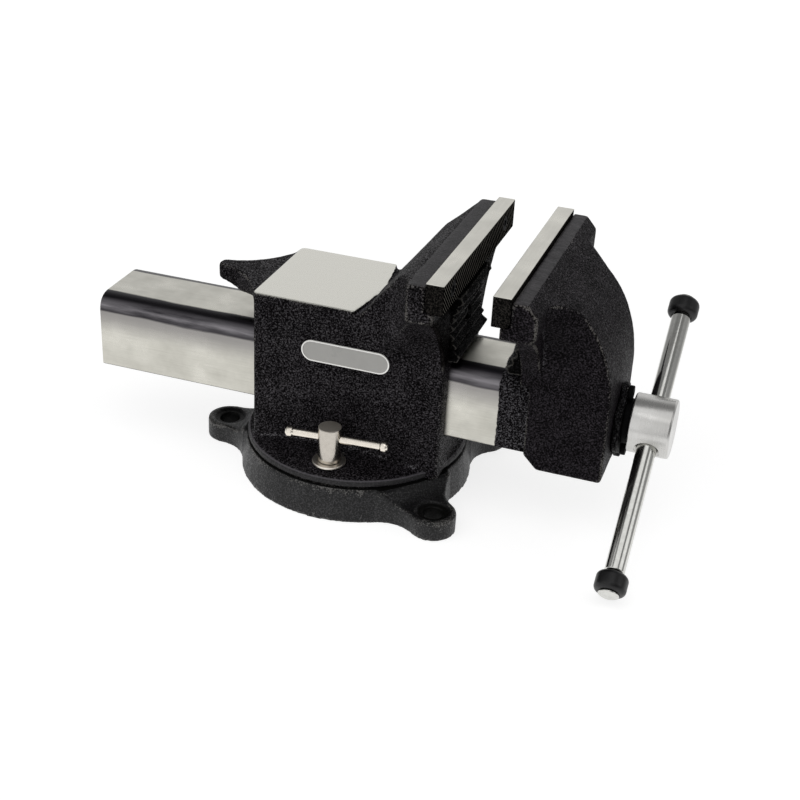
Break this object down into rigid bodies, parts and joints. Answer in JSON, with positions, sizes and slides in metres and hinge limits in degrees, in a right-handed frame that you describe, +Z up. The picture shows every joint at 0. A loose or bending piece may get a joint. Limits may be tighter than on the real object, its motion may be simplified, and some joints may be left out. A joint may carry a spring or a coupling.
{
  "type": "parallel bench vise",
  "caption": "Bench vise with a swivel base, box slide bar, anvil and horn, flat jaw plates, pipe jaws, screw spindle and sliding cross handle.",
  "frame": {"origin": "swivel axis on the face that rests on the bench", "axes": "+X the way the moving jaw opens, +Y along the jaws away from the badge, +Z up"},
  "size_m": [0.3712, 0.1847, 0.1694],
  "materials": {
    "cast_paint": "black wrinkle enamel on cast iron",
    "base_paint": "satin charcoal enamel on cast iron",
    "ground_steel": "surface ground",
    "dark_steel": "black oxide",
    "plated_steel": "bright nickel plate",
    "bronze": "as machined",
    "rubber": "matte moulded",
    "badge_enamel": "satin enamel, blank"
  },
  "bodies": {
    "base": {"swivel_base": "base_paint"},
    "body": {"vise_body": "cast_paint", "pivot_pin": "dark_steel", "spindle_nut": "bronze", "nut_bolt_1": "dark_steel", "nut_bolt_2": "dark_steel", "badge_plate": "badge_enamel", "fixed_jaw_plate": "ground_steel", "fixed_plate_screw_near": "dark_steel", "fixed_plate_screw_far": "dark_steel", "fixed_pipe_jaw": "dark_steel", "fixed_pipe_jaw_screw": "dark_steel", "front_lock_bolt": "dark_steel", "front_lock_washer": "plated_steel", "rear_lock_bolt": "dark_steel", "rear_lock_washer": "plated_steel"},
    "front_lock": {"front_lock_nut": "plated_steel"},
    "front_bar": {"front_lock_bar": "plated_steel"},
    "rear_lock": {"rear_lock_nut": "plated_steel"},
    "rear_bar": {"rear_lock_bar": "plated_steel"},
    "jaw": {"moving_jaw": "cast_paint", "slide_bar": "ground_steel", "slide_bar_pin_near": "dark_steel", "slide_bar_pin_far": "dark_steel", "moving_jaw_plate": "ground_steel", "moving_plate_screw_near": "dark_steel", "moving_plate_screw_far": "dark_steel", "moving_pipe_jaw": "dark_steel", "moving_pipe_jaw_screw": "dark_steel", "spindle_cover": "cast_paint", "cover_screw_lower": "dark_steel", "cover_screw_upper": "dark_steel"},
    "spindle": {"spindle": "ground_steel", "thrust_washer": "dark_steel", "spindle_collar": "dark_steel", "collar_pin": "dark_steel"},
    "handle": {"handle_bar": "plated_steel", "handle_knob_upper": "rubber", "handle_knob_lower": "rubber"}
  },
  "joints": [
    {"name": "body_swivel", "type": "hinge", "parent": "base", "child": "body", "pos_m": [0, 0, 0.0224], "axis": [0, 0, 1], "continuous": true},
    {"name": "jaw_slide", "type": "slide", "parent": "body", "child": "jaw", "axis": [1, 0, 0], "range_m": [-0.0276, 0.1221]},
    {"name": "spindle_turn", "type": "hinge", "parent": "jaw", "child": "spindle", "pos_m": [0.1, 0, 0.0697], "axis": [1, 0, 0], "range_deg": [-1650, 7320]},
    {"name": "handle_slide", "type": "slide", "parent": "spindle", "child": "handle", "axis": [0, 0.8526, 0.5225], "range_m": [-0.062, 0.081]},
    {"name": "front_lock_turn", "type": "hinge", "parent": "body", "child": "front_lock", "pos_m": [0.00195, -0.05597, 0.04], "axis": [0, 0, 1], "range_deg": [-18, 8]},
    {"name": "front_bar_slide", "type": "slide", "parent": "front_lock", "child": "front_bar", "axis": [0.9962, 0.0872, 0], "range_m": [-0.0242, 0.0152]},
    {"name": "rear_lock_turn", "type": "hinge", "parent": "body", "child": "rear_lock", "pos_m": [0.00195, 0.05597, 0.04], "axis": [0, 0, 1], "range_deg": [-8, 18]},
    {"name": "rear_bar_slide", "type": "slide", "parent": "rear_lock", "child": "rear_bar", "axis": [0.9962, -0.0872, 0], "range_m": [-0.0242, 0.0152]}
  ],
  "couplings": [
    {"joint": "spindle_turn", "follows": "jaw_slide", "rad_per_m": 1047.2}
  ]
}
